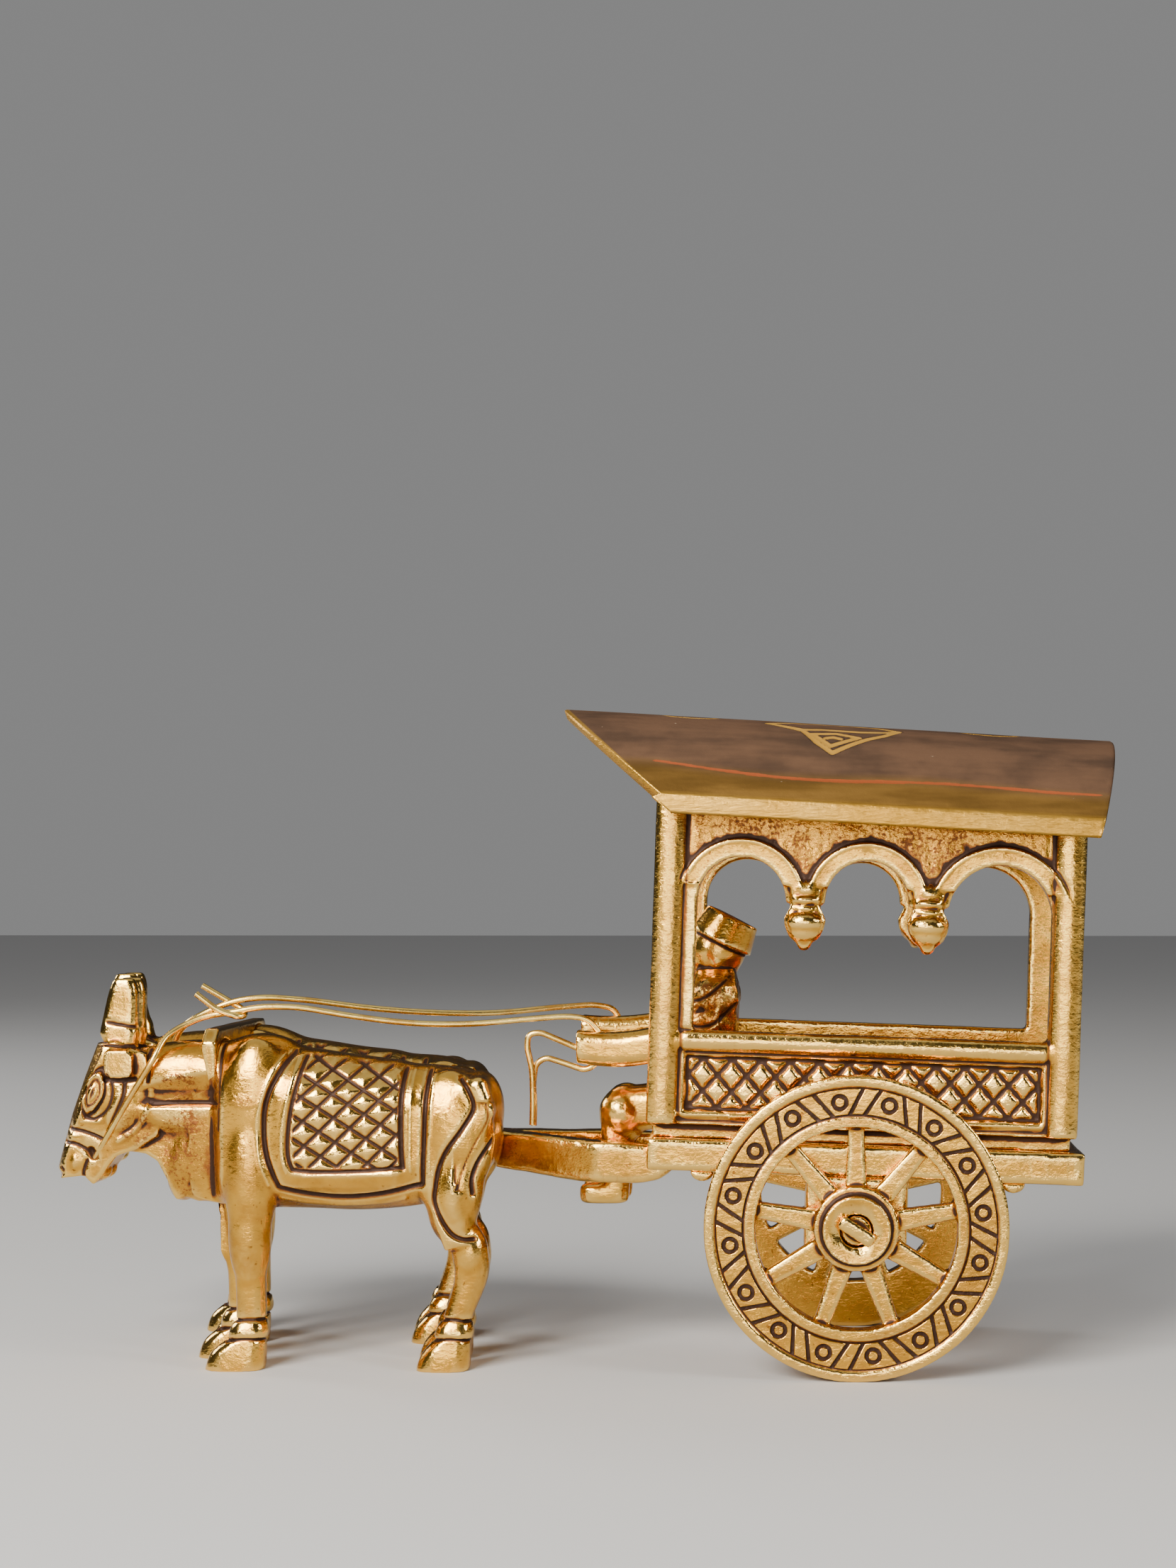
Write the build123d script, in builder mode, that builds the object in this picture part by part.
from build123d import *
import math
import os

os.makedirs("parts", exist_ok=True)

# Cast brass table ornament of a bullock cart, in millimetres. +X runs to the cart's rear, +Y away from
# its near side, +Z up. The origin is on the table under the middle of the whole piece.

# Wheels and axle. Every size of the cart is counted from the axle's middle.
AXLE_X, AXLE_Z = 40.9, 21.6
AXLE_R, RUNNING_GAP = 2.3, 0.06
WHEEL_R = 21.6
WHEEL_INNER_Y = 19.9
# Rings of the rim: inner radius, outer radius, height over the wheel's inner face.
RIM_RINGS = ((20.2, 21.6, 3.2), (15.6, 20.3, 2.7), (14.3, 15.8, 3.1))
SPOKE_COUNT = 9
SPOKE_RIM_W, SPOKE_HUB_W, SPOKE_T = 2.2, 3.2, 2.3
SPOKE_INNER_R, SPOKE_OUTER_R = 4.0, 15.0
HUB_R, HUB_T = 6.0, 3.1
HUB_CAP_R, HUB_CAP_T = 4.8, 5.1
# Flat key on the end of the axle, which keeps the wheel on.
KEY_L, KEY_W, KEY_T, KEY_TURN, KEY_GAP = 5.6, 2.0, 0.9, -33.0, 0.12

# The cart stands a little nose up, turned about its axle. Its sizes are u to the rear and v up.
TILT = 2.0
PLANK_U, PLANK_V, PLANK_HALF_W = (-30.2, 32.2), (6.8, 11.4), 19.4
WALL_U, WALL_V = (-30.6, 31.1), (13.4, 66.0)
WALL_HALF_W, WALL_T = 18.3, 2.6
# The wall stands on a narrow base strip, set back from its face.
BASE_SETBACK = 0.9
# Half-round mouldings of the wall's face: corner posts and the rail under the window.
POST_W, POST_T = 4.4, 1.1
RAIL_V, RAIL_T = (24.1, 26.9), 0.8
WINDOW_U, SILL_V, ARCH_TOP_V = (-24.3, 26.5), 26.9, 52.0
PENDANT_U, PENDANT_W = (-8.8, 8.8), 5.6
ARCH_BAND_W, ARCH_BAND_T = 2.8, 0.6
# Hanging bud between two arches: half width and v, from the top.
BUD = ((2.2, 47.6), (1.9, 45.9), (2.2, 44.9), (3.0, 43.4), (2.7, 41.8), (0.4, 39.2))
# Sunk panel under the window, filled with rows of raised diamonds, each row half a diamond above the last.
PANEL_U, PANEL_V, PANEL_DEPTH = (-25.2, 25.8), (15.4, 23.4), 0.8
DIAMOND_COLUMNS, DIAMOND_ROWS, DIAMOND_BORDER = 12, 4, 0.5
DIAMOND_GAP, DIAMOND_T, DIAMOND_SLANT = 0.3, 0.6, 36.0

# Barrel roof. Its crown line drops to the rear by ROOF_SLOPE more degrees than the floor.
ROOF_R, ROOF_T, ROOF_CENTRE_V, ROOF_SLOPE = 29.5, 1.5, 42.74, 1.4
ROOF_HALF_W = 24.2
# Raked ends seen from the side: u and v of the eave end and of the crown end.
ROOF_FRONT = ((-27.4, 57.0), (-47.6, 74.5))
ROOF_REAR = ((32.0, 55.0), (36.7, 74.5))

TAILBOARD_U, TAILBOARD_T, TAILBOARD_TOP_V = 27.6, 2.2, 24.1
BOLSTER_W, BOLSTER_HALF_L, BOLSTER_BASE_V = 14.6, 19.0, -4.4
BEARER_U, BEARER_W, BEARER_T = 22.2, 3.4, 1.4

# Forked shaft in plan: x from the axle's middle, and y, of one side's outer and inner edges.
SHAFT_TIP_X, SHAFT_END_X = -97.0, -26.4
SHAFT_OUTER = ((SHAFT_TIP_X, 1.8), (-56.0, 1.8), (-38.0, 10.2), (SHAFT_END_X, 10.2))
SHAFT_INNER = ((-50.5, 0.0), (-37.0, 6.4), (SHAFT_END_X, 6.4))
# The same shaft seen from the side: x and z of its upper and lower edges.
SHAFT_UPPER = ((SHAFT_TIP_X, 39.4), (-72.0, 35.4), (-52.0, 33.2), (-30.0, 32.1), (SHAFT_END_X, 31.9))
SHAFT_LOWER = ((SHAFT_END_X, 28.4), (-28.6, 26.8), (-32.0, 26.2), (-40.0, 26.4), (-52.0, 27.6), (-72.0, 31.0), (SHAFT_TIP_X, 36.6))

# Bullocks: x is counted from the near fore leg's middle, z from the table.
BULL_X, BULL_Y, FAR_BULL_AHEAD = AXLE_X - 87.65, 10.6, 4.2
# Trunk sections: x, middle height, width, height, corner radius.
TRUNK = (
    (35.3, 34.6, 7.6, 8.4, 3.6),
    (32.6, 34.6, 12.6, 15.4, 5.6),
    (24.0, 33.6, 15.4, 20.6, 6.8),
    (8.0, 34.3, 15.8, 23.0, 7.0),
    (-4.0, 34.2, 14.4, 21.8, 6.4),
    (-9.0, 34.0, 10.4, 19.4, 4.8),
)
# Neck sections, the same columns.
NECK = (
    (-3.0, 39.6, 11.6, 15.0, 5.0),
    (-9.5, 40.2, 10.0, 14.4, 4.6),
    (-17.0, 40.0, 8.4, 12.4, 3.9),
)
# Legs from the top: height, x, length along x, width along y.
FORE_LEG = (
    (27.0, 0.0, 7.6, 5.6),
    (19.9, -0.2, 5.2, 4.8),
    (13.0, 0.0, 4.4, 4.2),
    (4.4, 0.0, 4.3, 4.2),
)
HIND_LEG = (
    (30.0, 29.6, 9.6, 6.0),
    (20.3, 30.5, 5.6, 5.0),
    (15.6, 32.2, 5.2, 4.4),
    (9.1, 30.7, 4.4, 4.1),
    (4.4, 29.9, 4.8, 4.3),
)
LEG_Y, FAR_FORE_STEP, FAR_HIND_STEP = 4.6, -3.3, -1.0
# Pastern and hoof from the top: height, x ahead of the leg's middle, length, width.
PASTERN = ((6.9, 0.0, 4.7, 4.5), (6.3, 0.1, 5.4, 5.1), (4.9, 0.3, 5.6, 5.3), (4.3, 0.4, 5.1, 4.8))
HOOF = ((4.4, 0.5, 5.3, 4.9), (1.6, 1.5, 7.3, 5.5), (0.0, 1.8, 7.6, 5.6))
# Hump: x, middle height, width, height, corner radius.
HUMP = (
    (-6.4, 41.6, 7.0, 8.0, 3.4),
    (-2.0, 42.9, 8.6, 10.4, 4.1),
    (2.4, 43.3, 8.4, 10.2, 4.0),
    (7.6, 41.8, 5.6, 8.0, 2.7),
)
# Head seen from the side: x and z, round from the poll.
HEAD = (
    (-15.6, 45.6),
    (-20.0, 47.2),
    (-23.6, 47.0),
    (-25.5, 42.1),
    (-27.4, 36.6),
    (-29.5, 28.6),
    (-28.6, 27.2),
    (-25.0, 27.6),
    (-23.6, 26.3),
    (-22.1, 28.0),
    (-20.2, 30.6),
    (-17.2, 31.6),
    (-14.0, 33.6),
    (-13.6, 40.0),
)
# Head seen from the front: half width and z, from below.
HEAD_FRONT = ((2.9, 25.0), (3.2, 31.0), (3.5, 35.0), (4.2, 39.0), (4.3, 48.0))
DEWLAP_W = 5.0
DEWLAP = (
    (-19.5, 31.3),
    (-16.1, 30.9),
    (-14.3, 29.8),
    (-13.0, 27.2),
    (-11.6, 23.7),
    (-10.4, 24.6),
    (-8.4, 23.7),
    (-5.6, 24.2),
    (-4.0, 36.0),
    (-14.0, 38.0),
)
# Horn slabs from below: height, x, length, width.
HORN = (
    (45.0, -19.7, 4.6, 2.6),
    (48.0, -19.8, 4.9, 3.0),
    (50.0, -19.7, 4.5, 2.7),
    (54.2, -19.3, 3.7, 2.3),
    (56.4, -19.2, 2.4, 1.8),
)
HORN_Y = 2.0
EAR_X, EAR_Z, EAR_L, EAR_H, EAR_Y, EAR_T = -19.3, 44.1, 4.2, 4.1, 2.6, 2.8
EYE_X, EYE_Z, EYE_L, EYE_H, EYE_LEAN = -23.0, 40.0, 2.9, 5.2, -18.0
# Saddle cloth: from and to along x, lower edge, how far it stands off the flanks.
CLOTH_X, CLOTH_Z, CLOTH_T = (4.4, 22.0), 26.4, 0.45
# Tail laid along the flank: x and z of its middle line, then its width.
TAIL = ((32.4, 42.2), (33.6, 37.6), (31.2, 31.8), (29.0, 27.0), (29.0, 21.8), (30.4, 18.0))
TAIL_W, TAIL_OUT_Y = 3.9, 7.5
# Yoke: its front edge tapers down to a thin lower end beside each neck.
YOKE_X, YOKE_T, YOKE_TOP_Z = -94.5, 2.0, 49.2
YOKE_END_Y, YOKE_LOW_Z, YOKE_LOW_T = 16.8, 34.8, 0.5

# Driver on the floor's front end: height, x from the axle, length, width.
TORSO = ((34.4, -24.4, 9.4, 12.4), (44.0, -22.4, 8.6, 12.0), (53.6, -21.4, 8.2, 14.0), (58.0, -20.6, 5.0, 6.0))
REIN_R = 0.45


def middle(pair):
    return (pair[0] + pair[1]) / 2


def span(pair):
    return pair[1] - pair[0]


def side(y, u=0.0):
    """Plane at depth y facing the near side, turned with the cart: x is u, y is v."""
    turn = math.radians(TILT)
    flat = Plane((AXLE_X, y, AXLE_Z), x_dir=(math.cos(turn), 0, -math.sin(turn)), z_dir=(0, -1, 0))
    return Plane(flat.from_local_coords((u, 0, 0)), x_dir=flat.x_dir, z_dir=flat.z_dir)


def across(u, v, more_tilt=0.0):
    """Plane facing the rear at a point of the cart: x is the object's Y."""
    turn = math.radians(TILT + more_tilt)
    middle_point = side(0).from_local_coords((u, v, 0))
    return Plane(middle_point, x_dir=(0, 1, 0), z_dir=(math.cos(turn), 0, -math.sin(turn)))


def cart_level(u, y, v):
    """Plane facing up the turned cart at a point of it."""
    turn = math.radians(TILT)
    return Plane(
        side(y).from_local_coords((u, v, 0)),
        x_dir=(math.cos(turn), 0, -math.sin(turn)),
        z_dir=(math.sin(turn), 0, math.cos(turn)),
    )


def cross_section(x, y, z):
    """Plane facing the rear, square to the table."""
    return Plane((x, y, z), x_dir=(0, 1, 0), z_dir=(1, 0, 0))


def level(x, y, z):
    """Plane facing up."""
    return Plane((x, y, z), x_dir=(1, 0, 0), z_dir=(0, 0, 1))


def upright(x, y):
    """Plane facing the near side, square to the table: its x is the object's X and its y is Z."""
    return Plane((x, y, 0), x_dir=(1, 0, 0), z_dir=(0, -1, 0))


def make_wheel(label, out):
    """Spoked wheel whose face looks along out, -1 for the near one and 1 for the far one."""
    face = Plane((AXLE_X, out * WHEEL_INNER_Y, AXLE_Z), x_dir=(-out, 0, 0), z_dir=(0, out, 0))
    with BuildPart() as wheel:
        for inner_r, outer_r, height in RIM_RINGS:
            with BuildSketch(face):
                Circle(outer_r)
                Circle(inner_r, mode=Mode.SUBTRACT)
            extrude(amount=height)
        with BuildSketch(face):
            with PolarLocations(0, SPOKE_COUNT, start_angle=90):
                Polygon(
                    (SPOKE_INNER_R, -SPOKE_HUB_W / 2),
                    (SPOKE_OUTER_R, -SPOKE_RIM_W / 2),
                    (SPOKE_OUTER_R, SPOKE_RIM_W / 2),
                    (SPOKE_INNER_R, SPOKE_HUB_W / 2),
                    align=None,
                )
        extrude(amount=SPOKE_T)
        for radius, height in ((HUB_R, HUB_T), (HUB_CAP_R, HUB_CAP_T)):
            with BuildSketch(face):
                Circle(radius)
            extrude(amount=height)
        with BuildSketch(face):
            Circle(AXLE_R + RUNNING_GAP)
        extrude(amount=HUB_CAP_T, mode=Mode.SUBTRACT)
    wheel.part.label = label
    export_step(wheel.part, f"parts/{label}.step")


def make_wall(label, out):
    """Side wall with three arches over one window, hanging buds and a lattice panel."""
    outer = side(out * WALL_HALF_W)
    inward = out * WALL_T
    bay_starts = (WINDOW_U[0], PENDANT_U[0] + PENDANT_W / 2, PENDANT_U[1] + PENDANT_W / 2)
    bay_ends = (PENDANT_U[0] - PENDANT_W / 2, PENDANT_U[1] - PENDANT_W / 2, WINDOW_U[1])
    # Arches: middle u, middle v, radius.
    arches = []
    for start, end in zip(bay_starts, bay_ends):
        radius = (end - start) / 2
        arches.append(((start + end) / 2, ARCH_TOP_V - radius, radius))
    diamond_w = (span(PANEL_U) - 2 * DIAMOND_BORDER) / DIAMOND_COLUMNS
    row_step = (span(PANEL_V) - 2 * DIAMOND_BORDER) / (DIAMOND_ROWS - 1)
    with BuildPart() as wall:
        with BuildSketch(outer):
            with Locations((middle(WALL_U), middle(WALL_V))):
                Rectangle(span(WALL_U), span(WALL_V))
        extrude(amount=inward)
        with BuildSketch(side(out * (WALL_HALF_W - BASE_SETBACK))):
            with Locations((middle(WALL_U), middle((PLANK_V[1], WALL_V[0])))):
                Rectangle(span(WALL_U) - 2 * BASE_SETBACK, WALL_V[0] - PLANK_V[1])
        extrude(amount=out * (WALL_T - BASE_SETBACK))
        # Bands over the arches.
        with BuildSketch(outer):
            for centre_u, centre_v, radius in arches:
                with Locations((centre_u, centre_v)):
                    Circle(radius + ARCH_BAND_W)
            with Locations((middle(WALL_U), ARCH_TOP_V - 4.0 + 10.0)):
                Rectangle(span(WALL_U) - 2 * POST_W, 20.0, mode=Mode.INTERSECT)
        extrude(amount=-out * ARCH_BAND_T)
        with BuildSketch(outer):
            for centre_u, centre_v, radius in arches:
                with Locations((centre_u, centre_v)):
                    Circle(radius)
                with Locations((centre_u, (SILL_V + centre_v) / 2)):
                    Rectangle(2 * radius, centre_v - SILL_V)
            with Locations((middle(WINDOW_U), (SILL_V + BUD[0][1]) / 2 - 1.0)):
                Rectangle(span(WINDOW_U), BUD[0][1] - 2.0 - SILL_V)
        extrude(amount=WALL_T + 2.0, both=True, mode=Mode.SUBTRACT)
        for bud_u in PENDANT_U:
            with BuildSketch(side(out * (WALL_HALF_W + ARCH_BAND_T))):
                right = [(bud_u + half, v) for half, v in BUD]
                left = [(bud_u - half, v) for half, v in reversed(BUD)]
                Polygon(*right, *left, align=None)
            extrude(amount=out * (WALL_T + ARCH_BAND_T))
        # Lattice panel.
        with BuildSketch(outer):
            with Locations((middle(PANEL_U), middle(PANEL_V))):
                Rectangle(span(PANEL_U), span(PANEL_V))
        extrude(amount=out * PANEL_DEPTH, mode=Mode.SUBTRACT)
        with BuildSketch(side(out * (WALL_HALF_W - PANEL_DEPTH))):
            for row in range(DIAMOND_ROWS):
                row_v = PANEL_V[0] + DIAMOND_BORDER + row * row_step
                columns = DIAMOND_COLUMNS + row % 2
                with Locations((middle(PANEL_U), row_v)):
                    with GridLocations(diamond_w, 1, columns, 1):
                        Polygon(
                            (-diamond_w / 2 + DIAMOND_GAP, 0),
                            (0, -row_step + DIAMOND_GAP),
                            (diamond_w / 2 - DIAMOND_GAP, 0),
                            (0, row_step - DIAMOND_GAP),
                            align=None,
                        )
            # The panel's edge cuts the outer rows and columns in half.
            with Locations((middle(PANEL_U), middle(PANEL_V))):
                Rectangle(
                    span(PANEL_U) - 2 * DIAMOND_BORDER,
                    span(PANEL_V) - 2 * DIAMOND_BORDER,
                    mode=Mode.INTERSECT,
                )
        extrude(amount=-out * DIAMOND_T, taper=DIAMOND_SLANT)
        # Half-round posts at the corners and half-round rail under the window.
        for post_u in (WALL_U[0] + POST_W / 2, WALL_U[1] - POST_W / 2):
            with BuildSketch(cart_level(post_u, out * WALL_HALF_W, WALL_V[0])):
                Ellipse(POST_W / 2, POST_T)
            extrude(amount=span(WALL_V))
        with BuildSketch(across(WALL_U[0] + POST_W / 2, middle(RAIL_V))):
            with Locations((out * WALL_HALF_W, 0)):
                Ellipse(RAIL_T, span(RAIL_V) / 2)
        extrude(amount=span(WALL_U) - POST_W)
        # The roof's underside trims the wall's top.
        with BuildSketch(across(0, ROOF_CENTRE_V, ROOF_SLOPE)):
            Circle(ROOF_R - ROOF_T)
            with Locations((0, -30)):
                Rectangle(2 * (ROOF_R - ROOF_T), 60)
        extrude(amount=60, both=True, mode=Mode.INTERSECT)
    wall.part.label = label
    export_step(wall.part, f"parts/{label}.step")


def bend_radii(points):
    """Largest even bend at each inner point of a route."""
    radii = []
    for before, here, after in zip(points, points[1:], points[2:]):
        run_in, run_out = Vector(here) - Vector(before), Vector(after) - Vector(here)
        half_turn = math.radians(run_in.get_angle(run_out) / 2)
        radii.append(0.45 * min(run_in.length, run_out.length) / math.tan(half_turn))
    return radii


def make_wire(label, points):
    """Stiff brass wire along a route whose points are x from the axle, y, z."""
    route_points = [(AXLE_X + x, y, z) for x, y, z in points]
    with BuildPart() as wire:
        with BuildLine() as route:
            FilletPolyline(*route_points, radius=bend_radii(route_points))
        with BuildSketch(Plane(route.line @ 0, z_dir=route.line % 0)):
            Circle(REIN_R)
        sweep()
    wire.part.label = label
    export_step(wire.part, f"parts/{label}.step")


def loft_along(x0, y0, sections, grow=0.0):
    """Body of rounded sections that face along x."""
    outlines = []
    for x, z, width, height, radius in sections:
        with BuildSketch(cross_section(x0 + x, y0, z)) as outline:
            RectangleRounded(width + 2 * grow, height + 2 * grow, radius + grow)
        outlines.append(outline.sketch)
    loft(outlines)


def loft_down(x0, y0, sections):
    """Limb of rounded sections that face up."""
    outlines = []
    for z, x, length, width in sections:
        with BuildSketch(level(x0 + x, y0, z)) as outline:
            RectangleRounded(length, width, 0.42 * min(length, width))
        outlines.append(outline.sketch)
    loft(outlines)


def make_bull(label, x0, y0):
    """One walking bullock in one casting, with its saddle cloth and the tail laid along its flank."""
    with BuildPart() as head:
        with BuildSketch(upright(x0, y0)):
            Polygon(*HEAD, align=None)
        extrude(amount=8, both=True)
        # Seen from the front the head narrows from the brow to the muzzle.
        with BuildSketch(cross_section(x0 - 35, y0, 0)):
            Polygon(*HEAD_FRONT, *[(-half, z) for half, z in reversed(HEAD_FRONT)], align=None)
        extrude(amount=30, mode=Mode.INTERSECT)
    with BuildPart() as cloth:
        loft_along(x0, y0, TRUNK, CLOTH_T)
        with BuildSketch(upright(x0, y0)):
            with Locations((middle(CLOTH_X), CLOTH_Z + 15)):
                Rectangle(span(CLOTH_X), 30)
        extrude(amount=12, both=True, mode=Mode.INTERSECT)
    with BuildPart() as bull:
        loft_along(x0, y0, TRUNK)
        loft_along(x0, y0, NECK)
        loft_along(x0, y0, HUMP)
        legs = (
            (FORE_LEG, 0.0, -LEG_Y),
            (FORE_LEG, FAR_FORE_STEP, LEG_Y),
            (HIND_LEG, 0.0, -LEG_Y),
            (HIND_LEG, FAR_HIND_STEP, LEG_Y),
        )
        for leg, step, leg_y in legs:
            loft_down(x0 + step, y0 + leg_y, leg)
            foot_x = x0 + step + leg[-1][1]
            for sections in (PASTERN, HOOF):
                loft_down(foot_x, y0 + leg_y, [(z, -ahead, length, width) for z, ahead, length, width in sections])
        with BuildSketch(upright(x0, y0)):
            Polygon(*DEWLAP, align=None)
        extrude(amount=DEWLAP_W / 2, both=True)
        for out in (-1, 1):
            loft_down(x0, y0 + out * HORN_Y, HORN)
            with BuildSketch(upright(x0, y0 + out * EAR_Y)):
                with Locations((EAR_X, EAR_Z)):
                    RectangleRounded(EAR_L, EAR_H, 1.2)
            extrude(amount=-out * EAR_T)
            with BuildSketch(upright(x0, y0 + out * 3.0)):
                with Locations((EYE_X, EYE_Z)):
                    Ellipse(EYE_L / 2, EYE_H / 2, rotation=EYE_LEAN)
            extrude(amount=-out * 1.6)
        with BuildSketch(upright(x0, y0 - TAIL_OUT_Y)):
            with BuildLine():
                Polyline(*TAIL)
            trace(line_width=TAIL_W)
        extrude(amount=-TAIL_OUT_Y)
        add(head.part)
        add(cloth.part)
    bull.part.label = label
    export_step(bull.part, f"parts/{label}.step")
    return bull.part


for label, out in (("wheel_left", -1), ("wheel_right", 1)):
    make_wheel(label, out)

for label, out in (("side_wall_left", -1), ("side_wall_right", 1)):
    make_wall(label, out)

# Axle with a flat key at each end.
with BuildPart() as axle:
    with BuildSketch(Plane((AXLE_X, 0, AXLE_Z), x_dir=(1, 0, 0), z_dir=(0, -1, 0))):
        Circle(AXLE_R)
    extrude(amount=WHEEL_INNER_Y + HUB_CAP_T - 0.4, both=True)
    for out in (-1, 1):
        end = Plane(
            (AXLE_X, out * (WHEEL_INNER_Y + HUB_CAP_T - 0.4), AXLE_Z), x_dir=(-out, 0, 0), z_dir=(0, out, 0)
        )
        with BuildSketch(end):
            Rectangle(KEY_W, KEY_W, rotation=KEY_TURN)
        extrude(amount=0.4 + KEY_GAP)
        with BuildSketch(end.offset(0.4 + KEY_GAP)):
            RectangleRounded(KEY_L, KEY_W, 0.6, rotation=KEY_TURN)
        extrude(amount=KEY_T)
axle.part.label = "axle"
export_step(axle.part, "parts/axle.step")

# Bolster under the floor, bored for the axle.
with BuildPart() as bolster:
    with BuildSketch(side(0)):
        with Locations((0, (PLANK_V[0] + BOLSTER_BASE_V) / 2)):
            Rectangle(BOLSTER_W, PLANK_V[0] - BOLSTER_BASE_V)
    extrude(amount=BOLSTER_HALF_L, both=True)
    with BuildSketch(side(0)):
        Circle(AXLE_R)
    extrude(amount=BOLSTER_HALF_L, both=True, mode=Mode.SUBTRACT)
bolster.part.label = "axle_bolster"
export_step(bolster.part, "parts/axle_bolster.step")

with BuildPart() as plank:
    with BuildSketch(side(0)):
        with Locations((middle(PLANK_U), middle(PLANK_V))):
            Rectangle(span(PLANK_U), span(PLANK_V))
    extrude(amount=PLANK_HALF_W, both=True)
plank.part.label = "floor_plank"
export_step(plank.part, "parts/floor_plank.step")

# Round-bellied bearers across the floor's underside.
for label, bearer_u in (("bearer_front", -BEARER_U), ("bearer_rear", BEARER_U)):
    with BuildPart() as bearer:
        with BuildSketch(side(0)):
            with Locations((bearer_u, PLANK_V[0])):
                Ellipse(BEARER_W / 2, BEARER_T)
                with Locations((0, BEARER_T)):
                    Rectangle(BEARER_W + 1, 2 * BEARER_T, mode=Mode.SUBTRACT)
        extrude(amount=BOLSTER_HALF_L, both=True)
    bearer.part.label = label
    export_step(bearer.part, f"parts/{label}.step")

with BuildPart() as roof:
    with BuildSketch(across(0, ROOF_CENTRE_V, ROOF_SLOPE)):
        Circle(ROOF_R)
        Circle(ROOF_R - ROOF_T, mode=Mode.SUBTRACT)
        with Locations((0, ROOF_R)):
            Rectangle(2 * ROOF_HALF_W, 2 * ROOF_R, mode=Mode.INTERSECT)
    extrude(amount=60, both=True)
    # Raked ends: the eaves are shorter than the crown.
    with BuildSketch(side(0)):
        (front_eave, front_crown), (rear_eave, rear_crown) = ROOF_FRONT, ROOF_REAR
        Polygon(front_eave, rear_eave, rear_crown, front_crown, align=None)
    extrude(amount=2 * ROOF_HALF_W, both=True, mode=Mode.INTERSECT)
roof.part.label = "roof"
export_step(roof.part, "parts/roof.step")

# Low board across the rear between the walls.
with BuildPart() as tailboard:
    with BuildSketch(across(TAILBOARD_U, PLANK_V[1])):
        with Locations((0, (TAILBOARD_TOP_V - PLANK_V[1]) / 2)):
            Rectangle(2 * (WALL_HALF_W - WALL_T), TAILBOARD_TOP_V - PLANK_V[1])
    extrude(amount=TAILBOARD_T)
tailboard.part.label = "tailboard"
export_step(tailboard.part, "parts/tailboard.step")

# Shaft: one pole between the bullocks that forks into two rails, seated against the floor.
with BuildPart() as shaft:
    with BuildSketch(level(AXLE_X, 0, 20)):
        Polygon(*SHAFT_OUTER, *[(x, -y) for x, y in reversed(SHAFT_OUTER)], align=None)
        Polygon(*SHAFT_INNER, *[(x, -y) for x, y in reversed(SHAFT_INNER[1:])], align=None, mode=Mode.SUBTRACT)
    extrude(amount=30)
    with BuildSketch(upright(AXLE_X, 0)):
        Polygon(*SHAFT_UPPER, *SHAFT_LOWER, align=None)
    extrude(amount=20, both=True, mode=Mode.INTERSECT)
    add(plank.part, mode=Mode.SUBTRACT)
shaft.part.label = "shaft"
export_step(shaft.part, "parts/shaft.step")

bulls = []
for label, out, ahead in (("bullock_left", -1, 0.0), ("bullock_right", 1, FAR_BULL_AHEAD)):
    bulls.append(make_bull(label, BULL_X - ahead, out * BULL_Y))

# Yoke: a flat plate on edge over both necks, its ends hanging close beside them.
with BuildPart() as yoke:
    with BuildSketch(cross_section(AXLE_X + YOKE_X, 0, 0)):
        with BuildLine():
            Polyline(
                (-14.6, YOKE_TOP_Z),
                (14.6, YOKE_TOP_Z),
                (YOKE_END_Y, YOKE_TOP_Z - 1.8),
                (YOKE_END_Y - 0.4, YOKE_LOW_Z),
                (YOKE_END_Y - 1.4, YOKE_LOW_Z),
                (YOKE_END_Y - 1.4, 40.2),
            )
            RadiusArc((YOKE_END_Y - 1.4, 40.2), (5.0, 40.2), 5.3)
            Polyline((5.0, 40.2), (2.4, 35.4), (-2.4, 35.4), (-5.0, 40.2))
            RadiusArc((-5.0, 40.2), (1.4 - YOKE_END_Y, 40.2), 5.3)
            Polyline(
                (1.4 - YOKE_END_Y, 40.2),
                (1.4 - YOKE_END_Y, YOKE_LOW_Z),
                (0.4 - YOKE_END_Y, YOKE_LOW_Z),
                (-YOKE_END_Y, YOKE_TOP_Z - 1.8),
                (-14.6, YOKE_TOP_Z),
            )
        make_face()
    extrude(amount=YOKE_T)
    with BuildSketch(upright(AXLE_X + YOKE_X, 0)):
        Polygon(
            (0, YOKE_TOP_Z),
            (0, YOKE_TOP_Z - 3.0),
            (YOKE_T - 2 * YOKE_LOW_T, 40.5),
            (YOKE_T - YOKE_LOW_T, YOKE_LOW_Z),
            (YOKE_T, YOKE_LOW_Z),
            (YOKE_T, YOKE_TOP_Z),
            align=None,
        )
    extrude(amount=20, both=True, mode=Mode.INTERSECT)
    for seat in (*bulls, shaft.part):
        add(seat, mode=Mode.SUBTRACT)
yoke.part.label = "yoke"
export_step(yoke.part, "parts/yoke.step")

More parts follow.
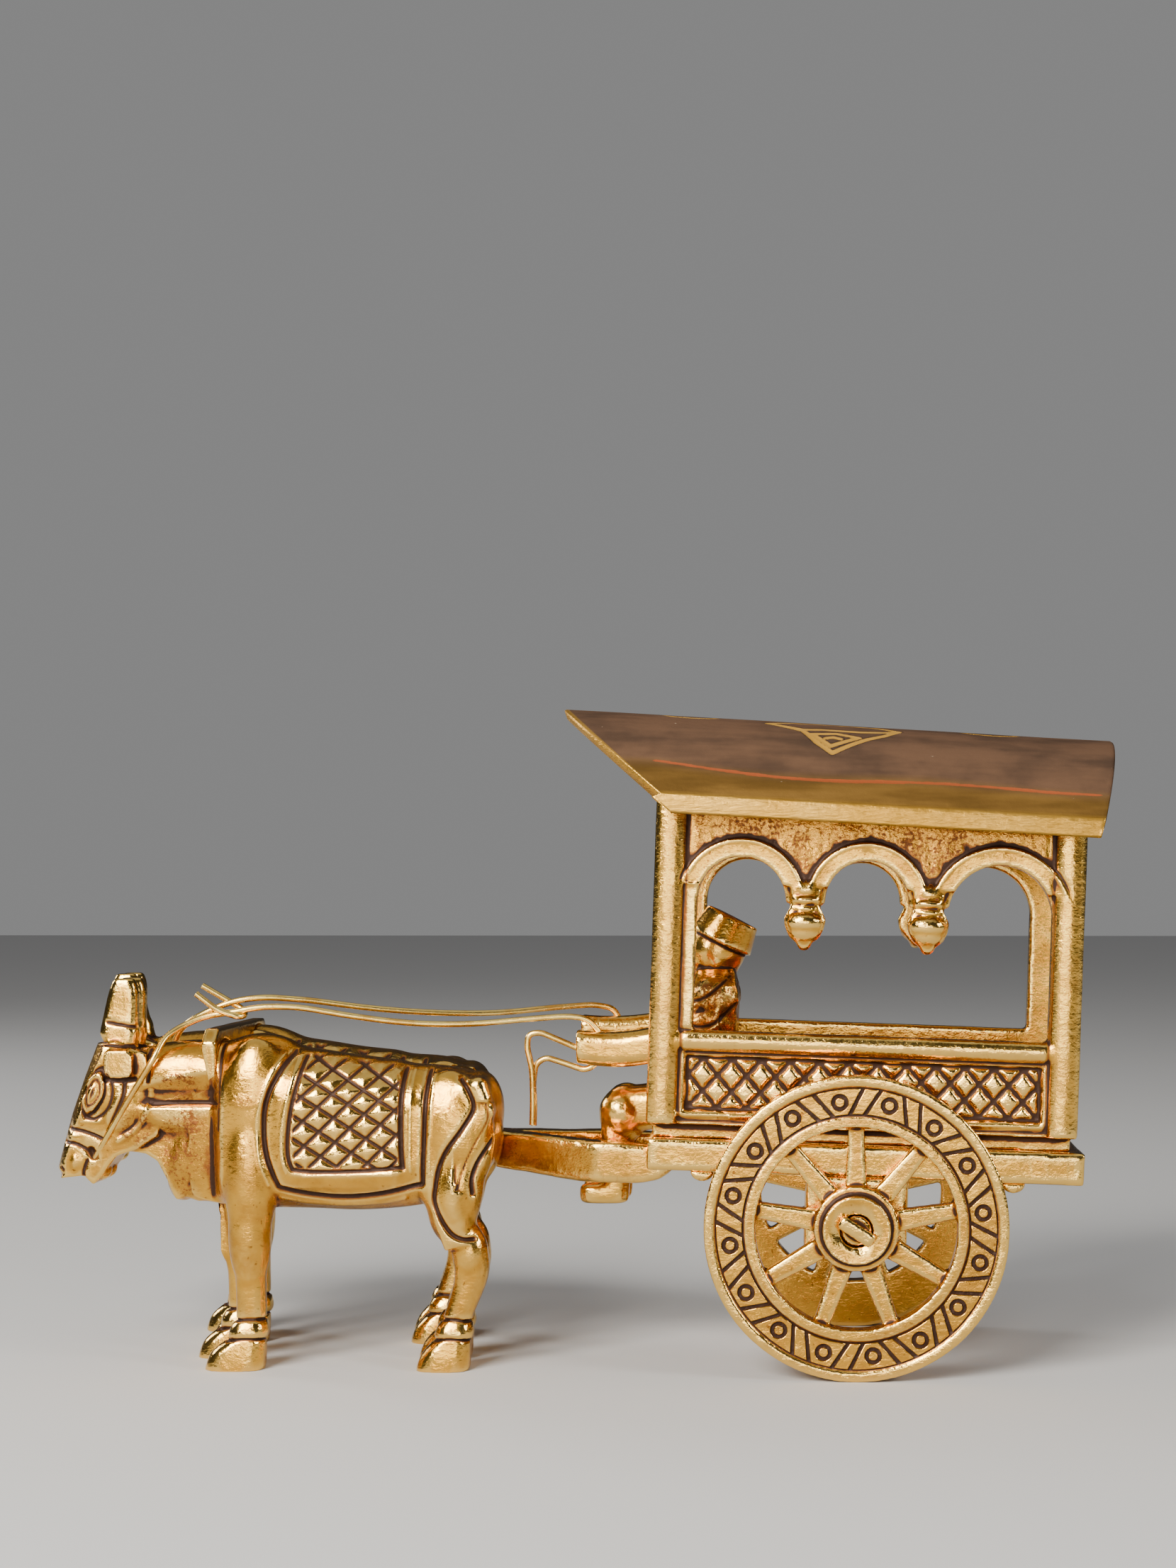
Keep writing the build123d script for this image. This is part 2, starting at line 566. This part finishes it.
# Driver: a seated figure with both hands and knees out past the front posts.
with BuildPart() as driver:
    for z, x, length, width in TORSO:
        with BuildSketch(level(AXLE_X + x, 0, z)):
            RectangleRounded(length, width, 2.4)
    loft()
    with Locations((AXLE_X - 20.6, 0, 60.4)):
        Sphere(4.4)
    # Flat wound turban, tipped back.
    with BuildSketch(Plane((AXLE_X - 20.0, 0, 61.6), x_dir=(0, 1, 0), z_dir=(0.45, 0, 0.9))):
        Circle(5.0)
    extrude(amount=4.2, taper=12)
    for out, hand_z in ((-1, 46.1), (1, 47.9)):
        # Arms: x from the axle, y, z, width, height.
        for x, y, z, width, height in ((-41.3, 4.2, hand_z, 4.4, 5.0), (-31.0, 4.6, hand_z, 4.8, 5.4), (-20.0, 6.0, 51.0, 4.6, 5.6)):
            with BuildSketch(cross_section(AXLE_X + x, out * y, z)):
                RectangleRounded(width, height, 1.8)
        loft()
        # Thighs, then shins and feet between the shaft's rails.
        with BuildSketch(cross_section(AXLE_X - 34.6, out * 2.9, 36.4)):
            RectangleRounded(5.0, 6.6, 2.2)
        with BuildSketch(cross_section(AXLE_X - 22.0, out * 3.2, 37.6)):
            RectangleRounded(5.8, 6.4, 2.2)
        loft()
        with Locations((AXLE_X - 34.7, out * 2.9, 36.3)):
            Sphere(3.4)
        with BuildSketch(level(AXLE_X - 35.2, out * 2.9, 36.0)):
            RectangleRounded(5.4, 4.6, 1.8)
        with BuildSketch(level(AXLE_X - 35.4, out * 2.9, 24.6)):
            RectangleRounded(3.8, 3.8, 1.4)
        loft()
        with BuildSketch(level(AXLE_X - 37.3, out * 2.9, 22.5)):
            RectangleRounded(7.6, 4.0, 1.6)
        extrude(amount=3.0)
    add(plank.part, mode=Mode.SUBTRACT)
driver.part.label = "driver"
export_step(driver.part, "parts/driver.step")

# Formed brass wires. Routes: x from the axle, y, z. Both reins start in the left bullock's mouth.
WIRE_ROUTES = (
    (
        "rein_left",
        (
            (-111.2, -12.9, 30.1),
            (-108.9, -14.3, 33.6),
            (-105.2, -15.4, 39.5),
            (-101.7, -15.9, 44.9),
            (-100.6, -14.0, 47.9),
            (-98.8, -12.6, 49.3),
            (-95.4, -11.3, 50.9),
            (-91.6, -10.9, 51.4),
            (-87.6, -10.4, 52.2),
            (-82.0, -9.7, 52.2),
            (-74.6, -8.6, 50.8),
            (-66.0, -7.4, 49.6),
            (-57.0, -6.2, 49.4),
            (-48.4, -5.2, 50.2),
            (-42.6, -4.6, 50.6),
            (-39.6, -4.4, 50.2),
            (-38.0, -4.2, 48.2),
        ),
    ),
    (
        "rein_right",
        (
            (-111.2, -8.3, 30.1),
            (-108.9, -6.9, 33.6),
            (-105.2, -5.8, 39.5),
            (-101.7, -5.3, 44.9),
            (-100.6, -7.2, 48.0),
            (-98.6, -9.2, 49.8),
            (-95.2, -9.9, 51.6),
            (-91.4, -9.6, 53.1),
            (-87.2, -9.0, 53.6),
            (-81.0, -7.4, 53.1),
            (-72.0, -5.0, 51.7),
            (-63.0, -2.4, 50.9),
            (-54.0, 0.4, 50.7),
            (-45.4, 3.0, 51.5),
            (-39.4, 4.2, 51.9),
            (-36.6, 4.6, 51.3),
            (-35.6, 4.7, 49.6),
        ),
    ),
    (
        "rein_tie",
        (
            (-96.6, -11.8, 54.2),
            (-93.4, -11.6, 51.7),
            (-90.6, -11.3, 50.8),
            (-89.6, -10.2, 50.9),
            (-90.4, -9.1, 51.9),
            (-93.2, -9.3, 53.5),
            (-96.2, -9.6, 55.3),
        ),
    ),
    (
        "rein_end_upper",
        (
            (-40.6, -4.9, 45.6),
            (-43.6, -4.9, 46.9),
            (-46.7, -4.9, 48.2),
            (-48.5, -4.9, 47.9),
            (-48.7, -4.9, 46.0),
            (-47.9, -4.9, 42.6),
            (-47.8, -4.9, 38.4),
            (-47.9, -4.9, 34.4),
        ),
    ),
    (
        "rein_end_lower",
        (
            (-38.0, -4.2, 43.9),
            (-39.9, -4.1, 42.4),
            (-43.4, -3.9, 43.6),
            (-46.0, -3.9, 44.4),
            (-47.5, -3.9, 43.4),
            (-47.9, -3.9, 40.6),
            (-47.7, -3.9, 37.4),
            (-47.8, -3.9, 34.2),
        ),
    ),
)
for label, route_points in WIRE_ROUTES:
    make_wire(label, route_points)
